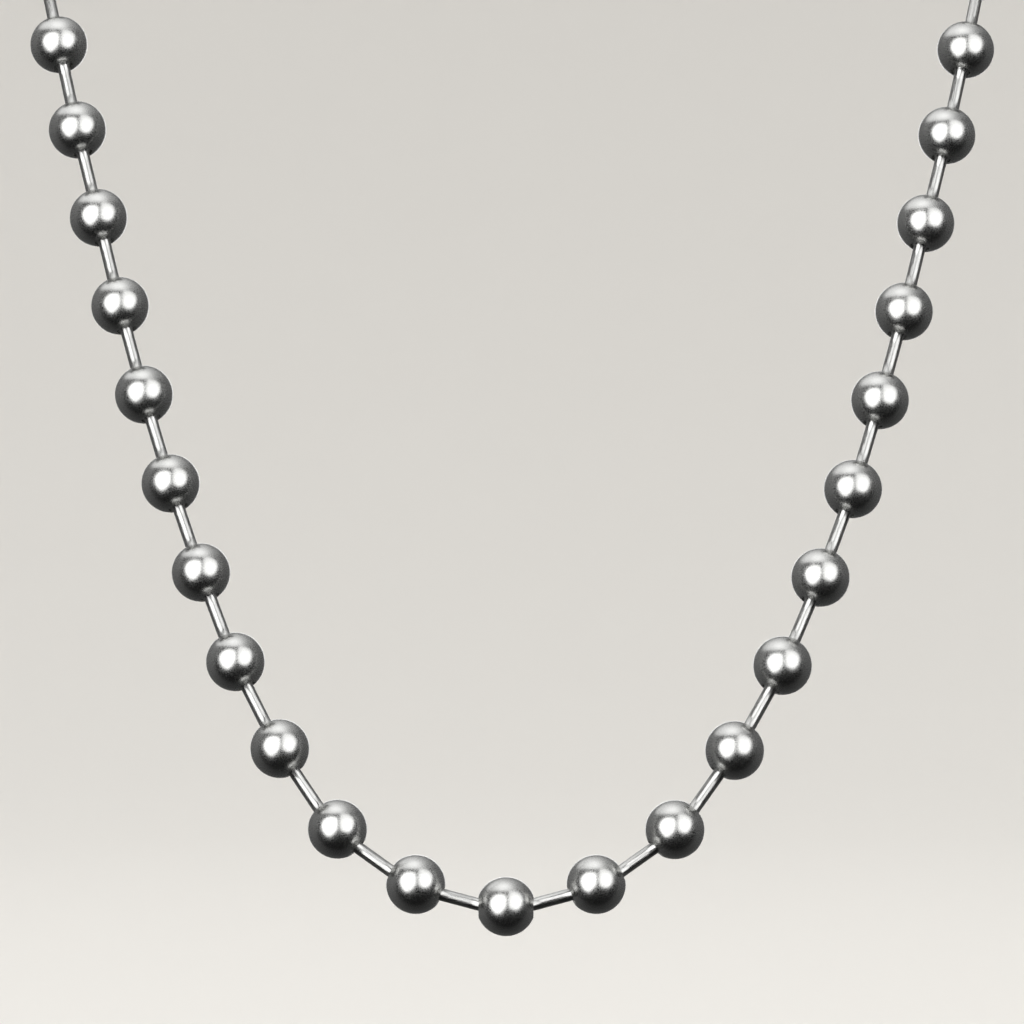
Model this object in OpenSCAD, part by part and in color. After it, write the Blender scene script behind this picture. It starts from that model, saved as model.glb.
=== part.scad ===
/* [Balls] */
// Outside diameter of a ball
ball_d = 8; // [6.5:0.5:12]
// Thickness of the steel sheet that a ball is formed from
ball_wall = 0.35; // [0.3:0.05:0.5]
// Number of balls on each side of the lowest one, up to the clasp
side_count = 21; // [17:1:27]
// Distance between the middles of two balls where the chain hangs tight
ball_pitch = 13.4; // [12:0.1:16]

/* [Links] */
// Diameter of the straight pin between two balls
pin_d = 1.7; // [1.4:0.1:2.2]
// Room round the pin in a ball's hole, which lets the pin swing
pin_room = 0.45; // [0.45:0.05:0.6]
// How far a pin's head reaches past the hole's edge, all round
head_hold = 0.1; // [0.1:0.05:0.25]
// Gap between a head and the hole's edge where the chain hangs tight
head_gap = 0.15; // [0.15:0.05:0.3]
// Share of its play in the balls by which the lowest link hangs slack
low_slack = 0.45; // [0:0.05:1]

/* [Clasp] */
// Thickness of the clasp's sheet
clasp_wall = 0.6; // [0.4:0.1:1]
// Gap between the clasp and the two balls that it holds
clasp_gap = 0.25; // [0.2:0.05:0.5]
// Gap between the two balls inside the clasp
clasp_apart = 2; // [1:0.5:4]
// Width of the clasp's long slot, which a ball snaps through
slot_w = 5; // [4:0.5:6]
// Room round the pin where it leaves the clasp
clasp_room = 1.2; // [1:0.1:1.5]

/* [Hanging] */
// How far the lowest ball hangs to the left of the middle
low_offset = 0.9; // [0:0.1:3]

/* [Hidden] */
$fn = 48;

// The route of the chain as it is worn, from the lowest ball over one shoulder to the nape.
// The columns are the distance out from the middle, the distance to the back and the height,
// from the middle of the neck, level with the clasp. The other shoulder mirrors this one.
route = [
    [0, -50, -168.5],
    [12.2, -49.5, -165.5],
    [21.5, -48, -159.3],
    [31.3, -45.5, -146.4],
    [42.3, -39, -123.1],
    [49.9, -31.5, -100.9],
    [57, -22.5, -75.1],
    [63.2, -13, -50],
    [67, 1, -30],
    [64.5, 22, -13],
    [52.5, 43.5, -4.5],
    [29, 60, -1],
    [0, 65.5, 0]
];
// Steps that the curve between two points of the route is divided into
curve_steps = 10;
// Height over the lowest ball where the chain hangs evenly about the middle again
offset_fade = 60;
// Number of links on each side, from the lowest ball, that hang slack
slack_links = 2;

ball_r = ball_d / 2;
pin_r = pin_d / 2;
hole_r = pin_r + pin_room;
head_r = hole_r + head_hold;
// The edge of a hole is rounded over the whole thickness of the ball
edge_r = ball_wall / 2;
edge_out = hole_r + edge_r;
edge_up = sqrt(pow(ball_r - edge_r, 2) - pow(edge_out, 2));
// Middle of a head above the middle of its ball, where the chain hangs tight
head_up = edge_up - sqrt(pow(head_r + edge_r + head_gap, 2) - pow(edge_out, 2));
// How far a head can slide from there towards the other head in its ball
head_play = max(0, head_up - head_r - head_gap);
pin_len = ball_pitch - 2 * head_up;
clasp_seat = ball_d + clasp_apart;
clasp_in_r = ball_r + clasp_gap;
clasp_out_r = clasp_in_r + clasp_wall;

function unit(v) = v / norm(v);
function mirrored(p) = [-p[0], p[1], p[2]];
function turned(list) = [for (i = [len(list) - 1:-1:0]) list[i]];
function last(list) = list[len(list) - 1];

// The route with one more point past each end, so that both halves meet smoothly
route_on = concat([mirrored(route[1])], route, [mirrored(route[len(route) - 2])]);
// Slope of the curve at point i of the route, from the points before and after it
function slope(i) =
    let (a = route_on[i], b = route_on[i + 1], c = route_on[i + 2])
    let (before = norm(b - a), after = norm(c - b))
    ((b - a) * after / before + (c - b) * before / after) / (before + after);
// Point of the curve at the share t of the way from point i to the next one
function curve_point(i, t) =
    let (a = route[i], b = route[i + 1], span = norm(b - a))
    (1 + 2 * t) * pow(1 - t, 2) * a + (3 - 2 * t) * pow(t, 2) * b
        + span * t * pow(1 - t, 2) * slope(i) - span * pow(t, 2) * (1 - t) * slope(i + 1);
// How far the chain hangs to the left at a height over the lowest ball
function offset_at(up) = up < offset_fade ? low_offset * (1 + cos(180 * up / offset_fade)) / 2 : 0;

half_curve = [
    for (i = [0:len(route) - 2], step = [0:curve_steps - 1]) curve_point(i, step / curve_steps)
];
// Points of the route from the lowest ball to the nape, over the right or the left shoulder
function side_curve(side) = [
    for (p = half_curve) [side * p[0] - offset_at(p[2] - route[0][2]), p[1], p[2]]
];
right_curve = concat(side_curve(1), [last(route)], turned(side_curve(-1)));
left_curve = concat(side_curve(-1), [last(route)], turned(side_curve(1)));

// Distance between the middles of two balls, for link i counted from the lowest ball
function spacing(i) = ball_pitch - 2 * head_play * low_slack * max(0, 1 - i / slack_links);
// First point of the curve, from point k on, that is at least this far from the ball
function next_past(curve, ball, k, far) =
    norm(curve[k] - ball) < far ? next_past(curve, ball, k + 1, far) : k;
// Where the stretch from a to b is exactly this far from the ball
function meet(a, b, ball, far) =
    let (s = b - a, w = a - ball, half = s * w, size = s * s)
    a + s * (sqrt(pow(half, 2) - size * (w * w - far * far)) - half) / size;
// Middles of the balls up one side, on the curve made larger by the factor grow
function side_balls(curve, grow, ball, k = 1, i = 0) =
    i >= side_count ? [ball * grow] :
    let (far = spacing(i) / grow, past = next_past(curve, ball, k, far))
    let (next = meet(curve[past - 1], curve[past], ball, far))
    concat([ball * grow], side_balls(curve, grow, next, past, i + 1));
// How far apart the two end balls lie at the nape
function nape_gap(grow) =
    last(side_balls(right_curve, grow, right_curve[0]))[0]
        - last(side_balls(left_curve, grow, left_curve[0]))[0];
// The factor by which the route grows so that the end balls sit in the clasp
function fitted(low, high, tries = 24) =
    let (middle = (low + high) / 2)
    tries == 0 ? middle :
    nape_gap(middle) < clasp_seat ? fitted(middle, high, tries - 1) : fitted(low, middle, tries - 1);

grow = fitted(0.7, 2);
right_balls = side_balls(right_curve, grow, right_curve[0]);
left_balls = side_balls(left_curve, grow, left_curve[0]);
// All balls in their order, from the left end ball by way of the lowest one to the right end ball
chain = concat(turned(left_balls), [for (i = [1:len(right_balls) - 1]) right_balls[i]]);
ball_count = len(chain);
// Direction of the two holes of each ball, midway between its two neighbours' directions
hole_way = [
    for (i = [0:ball_count - 1])
        let (before = chain[(i + ball_count - 1) % ball_count], after = chain[(i + 1) % ball_count])
        unit(unit(chain[i] - before) + unit(after - chain[i]))
];

// Places an upright shape at a point and turns its axis to a direction
module along(point, way) {
    translate(point)
        rotate([0, acos(way[2]), atan2(way[1], way[0])])
            children();
}

// One hollow ball with its holes on the Z axis
module ball() {
    edge_angle = asin(edge_out / (ball_r - edge_r));
    rotate_extrude() {
        difference() {
            circle(r = ball_r);
            circle(r = ball_r - ball_wall);
            translate([-ball_d, -ball_r])
                square([ball_d, ball_d]);
            for (end = [0, 1])
                mirror([0, end])
                    polygon([[0, 0], [ball_d * sin(edge_angle), ball_d * cos(edge_angle)], [0, ball_d]]);
        }
        for (end = [-1, 1])
            translate([edge_out, end * edge_up])
                circle(r = edge_r);
    }
}

// One straight pin on the Z axis, with a round head at each end
module link() {
    cylinder(r = pin_r, h = pin_len, center = true);
    for (end = [-1, 1])
        translate([0, 0, end * pin_len / 2])
            sphere(r = head_r);
}

// The outline of a sleeve with round ends, on the Y axis
module sleeve_outline(r) {
    square([2 * r, clasp_seat], center = true);
    for (end = [-1, 1])
        translate([0, end * clasp_seat / 2])
            circle(r = r);
}

module balls() {
    color("silver")
        for (i = [0:ball_count - 1])
            along(chain[i], hole_way[i])
                ball();
}

module links() {
    color("gainsboro")
        for (i = [0:ball_count - 2]) {
            start = chain[i] + head_up * hole_way[i];
            end = chain[i + 1] - head_up * hole_way[i + 1];
            along((start + end) / 2, unit(end - start))
                link();
        }
}

module clasp() {
    way = unit(chain[ball_count - 1] - chain[0]);
    sleeve_len = clasp_seat + 2 * clasp_out_r;
    color("silver")
        translate((chain[0] + chain[ball_count - 1]) / 2)
            rotate([0, -asin(way[2]), atan2(way[1], way[0])])
                difference() {
                    // The sleeve, with the holes at both ends that the pins leave by
                    rotate([0, 90, 0])
                        rotate_extrude()
                            difference() {
                                sleeve_outline(clasp_out_r);
                                sleeve_outline(clasp_in_r);
                                translate([pin_r + clasp_room - sleeve_len, -sleeve_len / 2])
                                    square(sleeve_len);
                            }
                    // The narrow slot that a pin is led in by
                    translate([-sleeve_len / 2, 0, -pin_r - pin_room])
                        cube([sleeve_len, 2 * clasp_out_r, 2 * (pin_r + pin_room)]);
                    // The wide slot that a ball snaps through
                    translate([-clasp_seat / 2, 0, -slot_w / 2])
                        cube([clasp_seat, 2 * clasp_out_r, slot_w]);
                }
}

balls();
links();
clasp();
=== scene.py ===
import math
import bmesh
import bpy
import numpy as np
from mathutils import Matrix, Vector


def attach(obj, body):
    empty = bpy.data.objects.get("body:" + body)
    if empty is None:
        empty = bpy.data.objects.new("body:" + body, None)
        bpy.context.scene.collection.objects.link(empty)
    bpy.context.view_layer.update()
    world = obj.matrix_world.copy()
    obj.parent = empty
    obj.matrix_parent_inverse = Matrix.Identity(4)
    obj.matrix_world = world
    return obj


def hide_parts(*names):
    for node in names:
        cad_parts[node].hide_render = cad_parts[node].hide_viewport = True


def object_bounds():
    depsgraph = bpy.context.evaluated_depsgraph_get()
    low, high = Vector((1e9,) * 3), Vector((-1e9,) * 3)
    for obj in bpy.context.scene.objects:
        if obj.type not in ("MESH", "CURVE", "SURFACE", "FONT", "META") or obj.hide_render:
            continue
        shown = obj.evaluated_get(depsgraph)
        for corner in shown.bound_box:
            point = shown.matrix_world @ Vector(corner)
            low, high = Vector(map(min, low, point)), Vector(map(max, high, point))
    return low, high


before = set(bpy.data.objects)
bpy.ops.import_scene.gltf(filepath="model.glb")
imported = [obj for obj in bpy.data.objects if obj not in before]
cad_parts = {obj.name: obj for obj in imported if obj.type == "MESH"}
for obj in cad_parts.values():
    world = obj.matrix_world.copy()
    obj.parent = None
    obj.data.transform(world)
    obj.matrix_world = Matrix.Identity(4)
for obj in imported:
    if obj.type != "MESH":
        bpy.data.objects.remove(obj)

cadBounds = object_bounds()  # the CAD box, kept for the middle of the chain further on
mm = 0.001  # the scene is in metres
scene = bpy.context.scene
print("frame loaded:", ", ".join(sorted(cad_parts)))


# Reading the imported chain

def looseSolids(node):
    # the triangles of each loose solid in a CAD node, as arrays of corners in metres
    mesh = node.data
    mesh.calc_loop_triangles()
    points = np.empty(len(mesh.vertices) * 3)
    mesh.vertices.foreach_get("co", points)
    points = points.reshape(-1, 3)
    corners = np.empty(len(mesh.loop_triangles) * 3, np.int64)
    mesh.loop_triangles.foreach_get("vertices", corners)
    corners = corners.reshape(-1, 3)
    # corners at one place count as one, then each triangle hands its lowest label to its corners
    weldGap = 0.001 * mm
    places, weld = np.unique(np.round(points / weldGap), axis=0, return_inverse=True)
    welded = weld.reshape(-1)[corners]
    label = np.arange(len(places))
    settled = False
    while not settled:
        before = label.copy()
        lowest = label[welded].min(axis=1)
        for side in range(3):
            np.minimum.at(label, welded[:, side], lowest)
        label = label[label]
        settled = (label == before).all()
    owner = label[welded[:, 0]]
    return [points[corners[owner == one]] for one in np.unique(owner)]


def middleAndWays(solid):
    # the middle of a solid's skin, and its main directions from the least spread to the widest
    a, b, c = solid[:, 0], solid[:, 1], solid[:, 2]
    area = np.linalg.norm(np.cross(b - a, c - a), axis=1) / 2
    middle = ((a + b + c) * area[:, None]).sum(axis=0) / 3 / area.sum()
    spread = np.zeros((3, 3))
    for part in (a - middle, b - middle, c - middle, a + b + c - 3 * middle):
        spread += np.einsum("i,ij,ik->jk", area, part, part)
    return middle, np.linalg.eigh(spread)[1].T


def facingBasis(way):
    # three directions at right angles, the last one along the given way
    way = way / np.linalg.norm(way)
    side = np.cross(way, [0.0, 1.0, 0.0])
    side /= np.linalg.norm(side)
    return np.array([side, np.cross(way, side), way])


def readTurned(node, axis):
    # the middle and axis of each turned solid in a node, where the axis is one of its main
    # directions, and where the first one's corners lie: from its middle, along its axis and off it
    solids = looseSolids(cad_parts[node])
    seats = []
    for solid in solids:
        middle, ways = middleAndWays(solid)
        seats.append({"middle": middle, "way": ways[axis]})
    corners = solids[0].reshape(-1, 3) - seats[0]["middle"]
    reach = np.linalg.norm(corners, axis=1)
    along = np.abs(corners @ seats[0]["way"])
    off = np.sqrt(np.maximum(reach ** 2 - along ** 2, 0))
    return seats, {"reach": reach, "along": along, "off": off}


def readBalls():
    # the seats of the balls, which spread least along their holes, and the sizes they all share
    seats, corners = readTurned("balls", 0)
    reach = corners["reach"]
    return seats, {"outside": reach.max(), "inside": reach.min(), "hole": corners["off"].min()}


def readPins():
    # the seats of the pins, which spread most along their length, and the sizes they all share
    seats, corners = readTurned("links", 2)
    along, off = corners["along"], corners["off"]
    return seats, {"head": off.max(), "reach": along.max(), "wire": off[along.argmin()]}


def readClasp():
    # the clasp's seat midway between its two balls, and its sizes; its slot faces the back
    corners = np.concatenate(looseSolids(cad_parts["clasp"])).reshape(-1, 3)
    nearest = sorted(balls, key=lambda ball: np.linalg.norm(ball["middle"] - corners.mean(axis=0)))
    first, second = sorted((ball["middle"] for ball in nearest[:2]), key=lambda middle: middle[0])
    seat = {"middle": (first + second) / 2, "way": second - first}
    side, front, along = facingBasis(seat["way"]) @ (corners - seat["middle"]).T
    fromAxis = np.hypot(side, front)
    reach = np.linalg.norm(second - first) / 2
    # half widths of the slot: the narrow one from past the turn of the sleeve, the wide one from the
    # lowest corner at the turn, which is on the slot's end wall and draws it narrower than in the CAD
    sameRow, apart = 0.01 * mm, 0.1 * mm
    atTurn = np.abs(np.abs(along) - reach) < sameRow
    narrow = np.abs(side[(front < 0) & (np.abs(along) > reach)]).min()
    wide = np.abs(side[(front < 0) & atTurn])
    sizes = {
        "outside": fromAxis.max(), "inside": fromAxis[atTurn].min(), "reach": reach,
        "end": np.abs(along).max(), "narrowSlot": narrow, "wideSlot": wide[wide > narrow + apart].min(),
    }
    return seat, sizes


balls, ballSizes = readBalls()
pins, pinSizes = readPins()
claspSeat, claspSizes = readClasp()
print("chain read:", len(balls), "balls and", len(pins), "pins")
for piece, read in {"ball": ballSizes, "pin": pinSizes, "clasp": claspSizes}.items():
    print(piece, {size: round(float(value) / mm, 3) for size, value in read.items()})

skinBack = 0.03 * mm  # drawn skins stay this far inside the solid ones


# Meshes

def arc(middle, radius, start, end, steps):
    # points on a round stretch of an outline, without its last point, angles in degrees from the axis
    turns = [math.radians(start + (end - start) * i / steps) for i in range(steps)]
    return [(middle[0] + radius * math.sin(t), middle[1] + radius * math.cos(t)) for t in turns]


def turnedMesh(name, outline, closed, around, seats):
    # one mesh of the same outline turned round the axis of each seat, with a UV map in millimetres
    outline = np.array(outline)
    count = len(outline)
    rows = count if closed else count - 1
    turns = np.linspace(0, 2 * math.pi, around, endpoint=False)
    off, up = outline[:, :1], outline[:, 1:].repeat(around, axis=1)
    body = np.stack([off * np.cos(turns), off * np.sin(turns), up], axis=2).reshape(-1, 3)
    quads = []
    for i in range(rows):
        for j in range(around):
            k = (j + 1) % around
            n = (i + 1) % count
            quads.append((i * around + j, n * around + j, n * around + k, i * around + k))
    quads = np.array(quads)
    points = []
    faces = []
    for number, seat in enumerate(seats):
        points.append(body @ facingBasis(seat["way"]) + seat["middle"])
        faces.append(quads + number * len(body))
    mesh = bpy.data.meshes.new(name)
    mesh.from_pydata(np.concatenate(points).tolist(), [], np.concatenate(faces).tolist())
    mesh.polygons.foreach_set("use_smooth", np.ones(len(mesh.polygons), bool))
    # u runs round the axis and v along the outline
    gone = np.linalg.norm(np.diff(outline, axis=0, append=outline[:1]), axis=1)
    gone = np.concatenate([[0], np.cumsum(gone)]) / mm
    width = 2 * math.pi * np.abs(outline[:, 0]).max() / mm
    uv = []
    for i in range(rows):
        for j in range(around):
            left, right = j / around * width, (j + 1) / around * width
            uv += [left, gone[i], left, gone[i + 1], right, gone[i + 1], right, gone[i]]
    layer = mesh.uv_layers.new(name="millimetres")
    layer.data.foreach_set("uv", np.tile(uv, len(seats)))
    piece = bpy.data.objects.new(name, mesh)
    scene.collection.objects.link(piece)
    mesh.update()
    return piece


def closeEnds(mesh):
    # fills the small openings that a turned outline leaves at its ends
    shell = bmesh.new()
    shell.from_mesh(mesh)
    bmesh.ops.holes_fill(shell, edges=shell.edges)
    shell.to_mesh(mesh)
    shell.free()


# Materials

def linearColour(hexColour):
    # sRGB hex to the linear values that a shader takes
    shares = [int(hexColour[i:i + 2], 16) / 255 for i in (1, 3, 5)]
    return [s / 12.92 if s <= 0.04045 else ((s + 0.055) / 1.055) ** 2.4 for s in shares] + [1]


def addNode(tree, kind, settings=None, links=None):
    # adds a node with its settings, by property or socket, and with what feeds its sockets
    node = tree.nodes.new(kind)
    for name, value in (settings or {}).items():
        if isinstance(name, str) and name in node.bl_rna.properties:
            setattr(node, name, value)
        else:
            node.inputs[name].default_value = value
    for name, source in (links or {}).items():
        tree.links.new(source, node.inputs[name])
    return node


def newMaterial(name):
    material = bpy.data.materials.new(name)
    material.use_nodes = True
    material.node_tree.nodes.clear()
    return material, material.node_tree


def tumblePolishedSteel(look):
    # stainless steel sheet formed into shape and tumble polished: it mirrors the lamps softly, fine
    # duller specks lay a haze round each highlight, soft waves make each ball's reflections a little
    # different, and a few hairlines run over it
    clean, speck = 0.36, 0.64  # values of the noise for clean steel and for a full speck
    hairlineSquash = (1, 0.04, 0.3)  # they run from front to back, and a little up and down
    hairlineTurn = (0.4, 0.7, 0.2)  # radians, at a slant to the noise's own grid
    material, tree = newMaterial("tumblePolishedStainlessSteel")
    place = addNode(tree, "ShaderNodeTexCoord").outputs["Object"]
    specks = addNode(tree, "ShaderNodeTexNoise",
                     {"Scale": 1 / (look["speckWidth"] * mm), "Detail": 2}, {"Vector": place})
    roughness = addNode(tree, "ShaderNodeMapRange",
                        {"From Min": clean, "From Max": speck,
                         "To Min": look["roughness"][0], "To Max": look["roughness"][1]},
                        {"Value": specks.outputs["Fac"]})
    waves = addNode(tree, "ShaderNodeTexNoise",
                    {"Scale": 1 / (look["waveWidth"] * mm), "Detail": 1}, {"Vector": place})
    waveBump = addNode(tree, "ShaderNodeBump",
                       {"Strength": 1, "Distance": look["waveDepth"] * mm},
                       {"Height": waves.outputs["Fac"]})
    squash = addNode(tree, "ShaderNodeMapping",
                     {"Rotation": hairlineTurn, "Scale": hairlineSquash}, {"Vector": place})
    lines = addNode(tree, "ShaderNodeTexNoise",
                    {"Scale": 1 / (look["lineWidth"] * mm), "Detail": 2},
                    {"Vector": squash.outputs["Vector"]})
    lineBump = addNode(tree, "ShaderNodeBump",
                       {"Strength": 1, "Distance": look["lineDepth"] * mm},
                       {"Height": lines.outputs["Fac"], "Normal": waveBump.outputs["Normal"]})
    steel = addNode(tree, "ShaderNodeBsdfPrincipled",
                    {"Base Color": linearColour(look["colour"]), "Metallic": 1},
                    {"Roughness": roughness.outputs["Result"], "Normal": lineBump.outputs["Normal"]})
    addNode(tree, "ShaderNodeOutputMaterial", links={"Surface": steel.outputs["BSDF"]})
    return material


def drawnSteelWire(look):
    # stainless steel wire pulled through a die, cut and tumbled: die lines along its length break
    # its highlights into streaks, and fine marks across it draw them out along the wire, so that it
    # shines whichever way it lies
    bright, dull = 0.44, 0.58  # values of the noise between the die lines and in them
    quarterTurn = 0.25  # lays the spread along the wire, as the tangent runs round it
    material, tree = newMaterial("drawnStainlessSteelWire")
    place = addNode(tree, "ShaderNodeUVMap", {"uv_map": "millimetres"}).outputs["UV"]
    stretch = addNode(tree, "ShaderNodeMapping",
                      {"Scale": (1 / look["lineWidth"], 1 / look["lineLength"], 1)},
                      {"Vector": place})
    lines = addNode(tree, "ShaderNodeTexNoise", {"Scale": 1, "Detail": 2},
                    {"Vector": stretch.outputs["Vector"]})
    roughness = addNode(tree, "ShaderNodeMapRange",
                        {"From Min": bright, "From Max": dull,
                         "To Min": look["roughness"][0], "To Max": look["roughness"][1]},
                        {"Value": lines.outputs["Fac"]})
    bump = addNode(tree, "ShaderNodeBump", {"Strength": 1, "Distance": look["lineDepth"] * mm},
                   {"Height": lines.outputs["Fac"]})
    aroundWire = addNode(tree, "ShaderNodeTangent",
                         {"direction_type": "UV_MAP", "uv_map": "millimetres"})
    steel = addNode(tree, "ShaderNodeBsdfPrincipled",
                    {"Base Color": linearColour(look["colour"]), "Metallic": 1,
                     "Anisotropic": look["spread"], "Anisotropic Rotation": quarterTurn},
                    {"Roughness": roughness.outputs["Result"], "Normal": bump.outputs["Normal"],
                     "Tangent": aroundWire.outputs["Tangent"]})
    addNode(tree, "ShaderNodeOutputMaterial", links={"Surface": steel.outputs["BSDF"]})
    return material


# Balls

ballLook = {
    "around": 48,  # faces round a ball
    "outsideRings": 26,  # rings between the two holes
    "edgeRings": 6,  # rings over the rounded edge of a hole
    "insideRings": 8,
    "colour": "#C9C9C7",
    "roughness": (0.2, 0.34),  # of the clean steel and of the specks
    "speckWidth": 0.12,  # mm, real specks are finer and wouldn't show one by one
    "waveWidth": 2.5,  # mm between the soft waves left by forming
    "waveDepth": 0.01,  # mm
    "lineWidth": 0.12,  # mm, real tumbling lines are finer and wouldn't show
    "lineDepth": 0.0003,  # mm
}


def makeBalls():
    # the outline goes down the outside, round the edge of the lower hole, up the inside and round
    # the edge of the upper hole
    outside, inside, hole = ballSizes["outside"] - skinBack, ballSizes["inside"], ballSizes["hole"]
    edge = (outside - inside) / 2
    edgeOut = hole + edge
    turn = math.degrees(math.asin(edgeOut / (outside - edge)))
    edgeUp = math.sqrt((outside - edge) ** 2 - edgeOut ** 2)
    outline = arc((0, 0), outside, turn, 180 - turn, ballLook["outsideRings"])
    outline += arc((edgeOut, -edgeUp), edge, 180 - turn, 360 - turn, ballLook["edgeRings"])
    outline += arc((0, 0), inside, 180 - turn, turn, ballLook["insideRings"])
    outline += arc((edgeOut, edgeUp), edge, 180 + turn, 360 + turn, ballLook["edgeRings"])
    piece = turnedMesh("steelBalls", outline, True, ballLook["around"], balls)
    piece.data.materials.append(tumblePolishedSteel(ballLook))
    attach(piece, "root")
    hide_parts("balls")
    return piece


steelBalls = makeBalls()
print("balls made:", len(steelBalls.data.polygons), "faces")


# Pins

pinLook = {
    "around": 32,
    "headRings": 12,
    "wireRings": 4,
    "tip": 1,  # degrees off the axis where the outline of a head starts
    "colour": "#BEBEBC",
    "roughness": (0.15, 0.5),  # between the die lines and in them
    "spread": 0.6,  # how much wider light spreads along the wire than round it, from 0 to 1
    "lineWidth": 0.1,  # mm, real die lines are finer and wouldn't show
    "lineLength": 4,  # mm
    "lineDepth": 0.001,  # mm
}


def makePins():
    # the outline goes from the tip of the upper head down the wire to the tip of the lower one
    head, wire, tip = pinSizes["head"], pinSizes["wire"], pinLook["tip"]
    headUp = pinSizes["reach"] - head
    neck = math.degrees(math.asin(wire / head))
    neckUp = headUp - math.sqrt(head ** 2 - wire ** 2)
    outline = arc((0, headUp), head, tip, 180 - neck, pinLook["headRings"])
    for i in range(pinLook["wireRings"]):
        outline.append((wire, neckUp - 2 * neckUp * i / pinLook["wireRings"]))
    outline += arc((0, -headUp), head, neck, 180 - tip, pinLook["headRings"])
    outline += arc((0, -headUp), head, 180 - tip, 180, 1)
    piece = turnedMesh("headedPins", outline, False, pinLook["around"], pins)
    closeEnds(piece.data)
    piece.data.materials.append(drawnSteelWire(pinLook))
    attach(piece, "root")
    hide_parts("links")
    return piece


headedPins = makePins()
print("pins made:", len(headedPins.data.polygons), "faces")


# Clasp

claspLook = {
    "around": 72,  # faces from one edge of the slot round to the other
    "straightRows": 8,  # along the wide part of the slot, from its middle
    "cornerRows": 6,  # round each corner of the slot
    "endRows": 10,  # along the narrow part of the slot
    "cornerRound": 0.5,  # mm, corners of the slot
    "evenAfter": 0.35,  # share of the way from the slot to the front where the rows turn even
    "edgeRound": 0.12,  # mm, edges of the sheet
    "edgeRings": 3,
    "sharpFrom": 50,  # degrees, edges that turn more than this are rounded
    "colour": "#C6C6C4",
    "roughness": (0.19, 0.36),  # of the clean steel and of the specks
    "speckWidth": 0.15,  # mm
    "waveWidth": 3,  # mm
    "waveDepth": 0.012,  # mm
    "lineWidth": 0.12,  # mm
    "lineDepth": 0.0005,  # mm
}


def slotEdge():
    # one edge of the slot from the middle of the sleeve to its end: along the axis, off the middle
    reach, end = claspSizes["reach"], claspSizes["end"] - skinBack
    wide, narrow = claspSizes["wideSlot"], claspSizes["narrowSlot"]
    bend = claspLook["cornerRound"] * mm
    straightRows, cornerRows = claspLook["straightRows"], claspLook["cornerRows"]
    endRows = claspLook["endRows"]
    turns = [math.radians(90 * i / cornerRows) for i in range(cornerRows + 1)]
    edge = [(reach * i / straightRows, wide) for i in range(straightRows)]
    edge += [(reach - bend + bend * math.sin(t), wide - bend + bend * math.cos(t)) for t in turns]
    edge += [(reach + bend - bend * math.cos(t), narrow + bend - bend * math.sin(t)) for t in turns]
    last = reach + bend
    edge += [(last + (end - last) * i / endRows, narrow) for i in range(1, endRows + 1)]
    return edge


def makeClasp():
    # a sleeve of bent sheet with round ends, slotted along its back
    outside = claspSizes["outside"] - skinBack
    half = slotEdge()
    edge = [(-x, y) for x, y in half[:0:-1]] + half
    rows, around = len(edge), claspLook["around"]
    end = half[-1][0]
    points = []
    for i, (edgeAlong, edgeOff) in enumerate(edge):
        even = -end + 2 * end * i / (rows - 1)
        edgePast = max(0, abs(edgeAlong) - claspSizes["reach"])
        start = math.asin(edgeOff / math.sqrt(outside ** 2 - edgePast ** 2))
        for j in range(around + 1):
            # the row leaves the slot's edge at its own place and settles to an even spacing
            share = 1 - abs(2 * j / around - 1)
            blend = min(1, share / claspLook["evenAfter"])
            blend = blend * blend * (3 - 2 * blend)
            along = edgeAlong + (even - edgeAlong) * blend
            past = max(0, abs(along) - claspSizes["reach"])
            radius = math.sqrt(outside ** 2 - past ** 2)
            turn = start + (2 * math.pi - 2 * start) * j / around
            points.append((radius * math.sin(turn), -radius * math.cos(turn), along))
    points = np.array(points) @ facingBasis(claspSeat["way"]) + claspSeat["middle"]
    wide = around + 1
    faces = []
    for i in range(rows - 1):
        for j in range(around):
            faces.append((i * wide + j, i * wide + j + 1, (i + 1) * wide + j + 1, (i + 1) * wide + j))
    mesh = bpy.data.meshes.new("sleeveClasp")
    mesh.from_pydata(points.tolist(), [], faces)
    mesh.polygons.foreach_set("use_smooth", np.ones(len(faces), bool))
    piece = bpy.data.objects.new("sleeveClasp", mesh)
    scene.collection.objects.link(piece)
    sheet = piece.modifiers.new("sheet", "SOLIDIFY")
    sheet.thickness = outside - claspSizes["inside"]
    sheet.offset = -1  # inwards
    sheet.use_even_offset = True
    rounding = piece.modifiers.new("rounding", "BEVEL")
    rounding.width = claspLook["edgeRound"] * mm
    rounding.segments = claspLook["edgeRings"]
    rounding.limit_method = "ANGLE"
    rounding.angle_limit = math.radians(claspLook["sharpFrom"])
    mesh.materials.append(tumblePolishedSteel(claspLook))
    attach(piece, "root")
    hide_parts("clasp")
    return piece


sleeveClasp = makeClasp()
print("clasp made:", len(sleeveClasp.data.polygons), "faces before its sheet is thickened")


# Stage

lowBall = min(balls, key=lambda ball: ball["middle"][2])["middle"]
chainMiddle = Vector([(low + high) / 2 for low, high in zip(*cadBounds)])

stageLook = {
    "floorDrop": 60,  # mm from the lowest ball to the floor
    "floorStart": 0.01,  # mm, radius at which the floor starts, too small to be seen
    "radius": 3.8,  # m, the wall of the cove
    "sweep": 2.4,  # m, radius of the bend from floor to wall
    "sweepRings": 16,
    "around": 96,
    "height": 4.5,  # m
    "colour": "#E4E2DE",
    "roughness": 0.9,
    "lampUp": 3.2,  # m
    "lampWidth": 3,  # m
    "lampPower": 116,  # W
}


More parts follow.
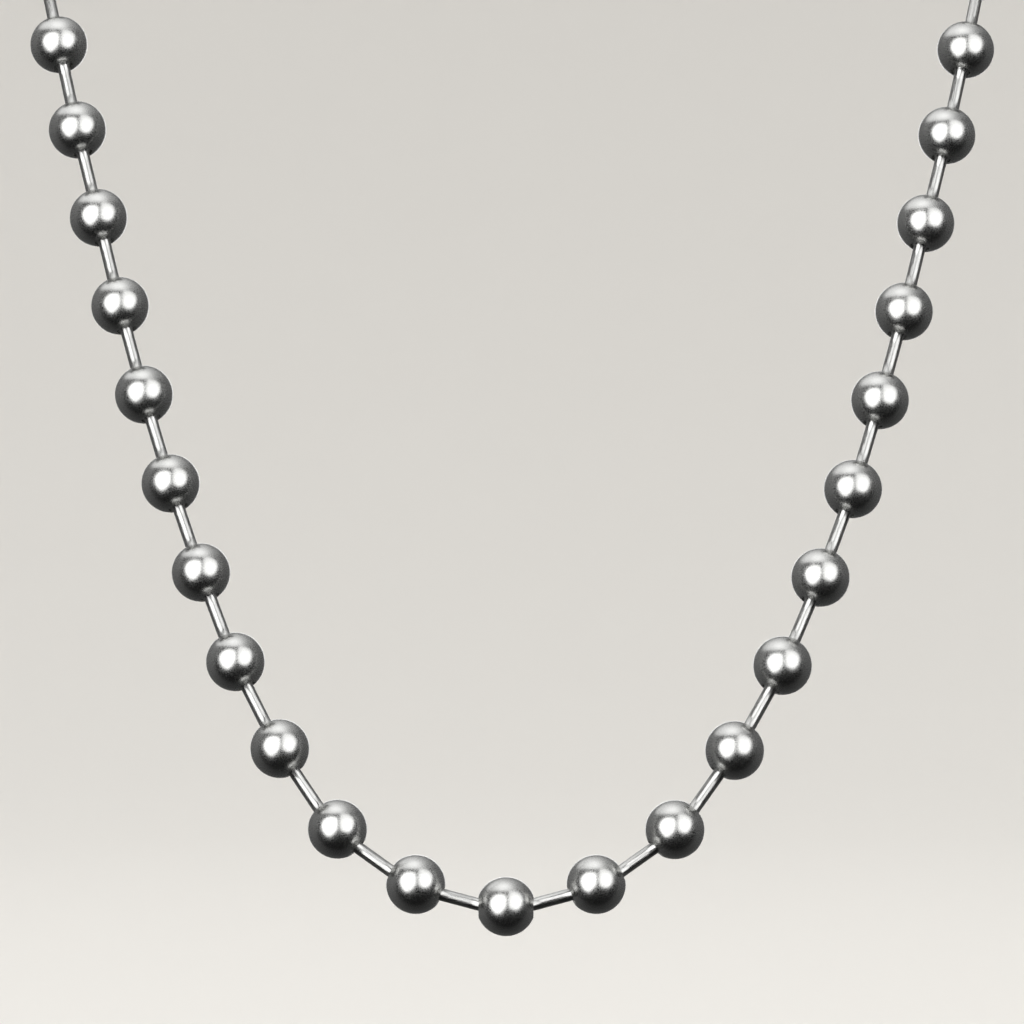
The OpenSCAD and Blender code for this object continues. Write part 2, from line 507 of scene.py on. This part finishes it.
def makeCove():
    # a pale floor that bends up into a round wall, so that every view has the same plain ground
    floorUp = lowBall[2] - stageLook["floorDrop"] * mm
    radius, sweep, rings = stageLook["radius"], stageLook["sweep"], stageLook["sweepRings"]
    bendOut, bendUp = radius - sweep, floorUp + sweep
    bend = [math.radians(90 * i / rings) for i in range(1, rings + 1)]
    profile = [(stageLook["floorStart"] * mm, floorUp), (bendOut, floorUp)]
    profile += [(bendOut + sweep * math.sin(t), bendUp - sweep * math.cos(t)) for t in bend]
    profile.append((radius, stageLook["height"]))
    seat = [{"way": np.array([0.0, 0.0, 1.0]), "middle": np.zeros(3)}]
    cove = turnedMesh("paleCove", profile, False, stageLook["around"], seat)
    # board with matt emulsion paint, rolled on: an even tone without any shine
    material, tree = newMaterial("mattPaintedBoard")
    paint = addNode(tree, "ShaderNodeBsdfPrincipled",
                    {"Base Color": linearColour(stageLook["colour"]),
                     "Roughness": stageLook["roughness"], "Specular IOR Level": 0})
    addNode(tree, "ShaderNodeOutputMaterial", links={"Surface": paint.outputs["BSDF"]})
    cove.data.materials.append(material)
    # the steel mirrors the dark studio and the softboxes, not the cove
    cove.visible_glossy = False


def makeCoveLamp():
    # a round lamp overhead that lights the cove alone, since the steel doesn't mirror it
    lamp = bpy.data.lights.new("coveLamp", "AREA")
    lamp.shape = "DISK"
    lamp.size = stageLook["lampWidth"]
    lamp.energy = stageLook["lampPower"]
    place = bpy.data.objects.new("coveLamp", lamp)
    place.location = (0, 0, stageLook["lampUp"])
    place.visible_camera = False
    place.visible_glossy = False
    scene.collection.objects.link(place)


makeCove()
print("cove made, floor at", round(float(lowBall[2]) / mm - stageLook["floorDrop"]), "mm")

# Each softbox is flat and faces the chain. Its corners and lamps are given by the directions in which
# the balls see them, as azimuth from the camera, to the right, and elevation, in degrees. Its cloth
# glows evenly, and brighter over each lamp, within a reach in metres. Distances are in metres too.
softboxes = {
    "leftSoftbox": {
        "aim": (-34, 14), "distance": 1.5, "glow": 2.3,
        "lamps": [(-34, 14, 1.2, 0.6)],  # azimuth, elevation, reach, glow
        "corners": [(-52, 40), (-63, 26), (-65, 10), (-58, -6), (-36, -32), (-3, -8),
                    (1, 11), (1, 45), (-33, 46)],
    },
    "rightSoftbox": {
        "aim": (46, 20), "distance": 1.5, "glow": 1.6,
        "lamps": [(40, 10, 1.1, 1.0)],
        "corners": [(15, 57), (9, 7), (12, -7), (41, -15), (59, -2), (73, 19),
                    (79, 32), (74, 45), (44, 59)],
    },
    # for views from behind, and narrow enough to stay off the balls' rims from the front
    "backSoftbox": {
        "aim": (180, 2), "distance": 1.5, "glow": 1.3,
        "lamps": [(180, 4, 0.7, 0.9)],
        "corners": [(162, -6), (162, 10), (173, 18), (-173, 18), (-162, 10), (-162, -6),
                    (-172, -14), (172, -14)],
    },
    "topSoftbox": {
        "aim": (0, 89), "distance": 1.2, "glow": 0.3,
        "lamps": [(-112, 56, 2, 0.95), (-10, 78, 0.9, 0.85)],
        "corners": [(10, 60), (-29, 58), (-65, 52), (-98, 42), (-116, 35), (-142, 26), (144, 27), (80, 47),
                    (45, 55)],
    },
}
cornerCuts = 2  # times that the corners of a softbox are cut off


def toward(azimuth, elevation):
    # the direction from the chain at an azimuth from the camera, to the right, and an elevation
    turn, rise = math.radians(azimuth), math.radians(elevation)
    return Vector((math.sin(turn) * math.cos(rise), -math.cos(turn) * math.cos(rise), math.sin(rise)))


def cornersCut(corners, times):
    # every corner is cut off, a few times over, so that the outline comes out round
    for _ in range(times):
        sides = zip(corners, corners[1:] + corners[:1])
        corners = [a.lerp(b, share) for a, b in sides for share in (0.25, 0.75)]
    return corners


def makeSoftbox(name, look):
    facing = toward(*look["aim"])
    turned = facing.to_track_quat("Z", "Y").to_matrix()

    def onCloth(azimuth, elevation):
        # where a direction from the chain meets the cloth, in the cloth's own axes
        ray = toward(azimuth, elevation)
        x, y, _ = turned.transposed() @ (ray * look["distance"] / ray.dot(facing))
        return Vector((x, y, 0))

    corners = cornersCut([onCloth(*corner) for corner in look["corners"]], cornerCuts)
    mesh = bpy.data.meshes.new(name)
    mesh.from_pydata(corners, [], [range(len(corners))])
    box = bpy.data.objects.new(name, mesh)
    scene.collection.objects.link(box)
    place = chainMiddle + facing * look["distance"]
    box.matrix_world = Matrix.Translation(place) @ turned.to_4x4()
    # thin white nylon cloth lit from behind: an even glow, brighter over the lamps
    material, tree = newMaterial(name + "Cloth")
    spot = addNode(tree, "ShaderNodeTexCoord").outputs["Object"]
    strength = None
    for azimuth, elevation, reach, glow in look["lamps"]:
        away = addNode(tree, "ShaderNodeVectorMath",
                       {"operation": "DISTANCE", 1: onCloth(azimuth, elevation)}, {0: spot})
        fall = addNode(tree, "ShaderNodeMapRange",
                       {"interpolation_type": "SMOOTHSTEP", "From Max": reach, "To Min": glow, "To Max": 0},
                       {"Value": away.outputs["Value"]})
        add = addNode(tree, "ShaderNodeMath", {1: look["glow"]}, {0: fall.outputs["Result"]})
        if strength:
            tree.links.new(strength, add.inputs[1])
        strength = add.outputs["Value"]
    cloth = addNode(tree, "ShaderNodeEmission", links={"Strength": strength})
    addNode(tree, "ShaderNodeOutputMaterial", links={"Surface": cloth.outputs["Emission"]})
    mesh.materials.append(material)
    # they light the steel alone, and the cove has its own lamp
    box.visible_camera = False
    box.visible_diffuse = False
    box.visible_shadow = False


for name, look in softboxes.items():
    makeSoftbox(name, look)
makeCoveLamp()
print("lights made:", ", ".join(softboxes), "and coveLamp")

# the dark room round the chain: greyer behind it and higher up, and a little greyer to the left
roomLook = {
    "behind": (-0.2, 0.1, 0.02, 0.12),  # share of the way to the back, from and to, with the grey there
    "above": (-1, 0.4, 0.35, 1.9),  # share of the way up, from and to, with the factor there
    "right": (-1, 1, 1.25, 0.85),  # share of the way to the right, from and to, with the factor there
}


def makeRoom():
    world = bpy.data.worlds.new("darkStudio")
    scene.world = world
    world.use_nodes = True
    tree = world.node_tree
    tree.nodes.clear()
    way = addNode(tree, "ShaderNodeTexCoord").outputs["Generated"]
    ways = addNode(tree, "ShaderNodeSeparateXYZ", links={"Vector": way})
    names = ("From Min", "From Max", "To Min", "To Max")
    grey = None
    for axis, stretch in zip("YZX", (roomLook["behind"], roomLook["above"], roomLook["right"])):
        share = addNode(tree, "ShaderNodeMapRange", dict(zip(names, stretch)), {"Value": ways.outputs[axis]})
        if grey:
            both = {0: grey, 1: share.outputs["Result"]}
            grey = addNode(tree, "ShaderNodeMath", {"operation": "MULTIPLY"}, both).outputs["Value"]
        else:
            grey = share.outputs["Result"]
    back = addNode(tree, "ShaderNodeBackground", links={"Strength": grey})
    addNode(tree, "ShaderNodeOutputWorld", links={"Surface": back.outputs["Background"]})


makeRoom()
print("room made")


# Camera

cameraLook = {
    "distance": 900,  # mm in front of the lowest ball
    "right": 0.8,  # mm from the lowest ball
    "up": 52.7,  # mm above the lowest ball
    "pixelsPerMm": 7.485,  # at the lowest ball
    "imageSize": 1024,  # pixels
    "sensor": 36,  # mm
    "clip": (0.05, 20),  # m, nearest and furthest that it sees
}

cameraData = bpy.data.cameras.new("photoCamera")
cameraData.sensor_width = cameraLook["sensor"]
seenWidth = cameraLook["imageSize"] / cameraLook["pixelsPerMm"]
cameraData.lens = cameraLook["sensor"] * cameraLook["distance"] / seenWidth
cameraData.clip_start, cameraData.clip_end = cameraLook["clip"]
camera = bpy.data.objects.new("photoCamera", cameraData)
fromLowBall = Vector((cameraLook["right"], -cameraLook["distance"], cameraLook["up"])) * mm
camera.location = Vector(lowBall) + fromLowBall
camera.rotation_euler = (math.radians(90), 0, 0)
scene.collection.objects.link(camera)
scene.camera = camera
scene.view_settings.view_transform = "Standard"
print("camera set:", round(cameraData.lens), "mm lens")
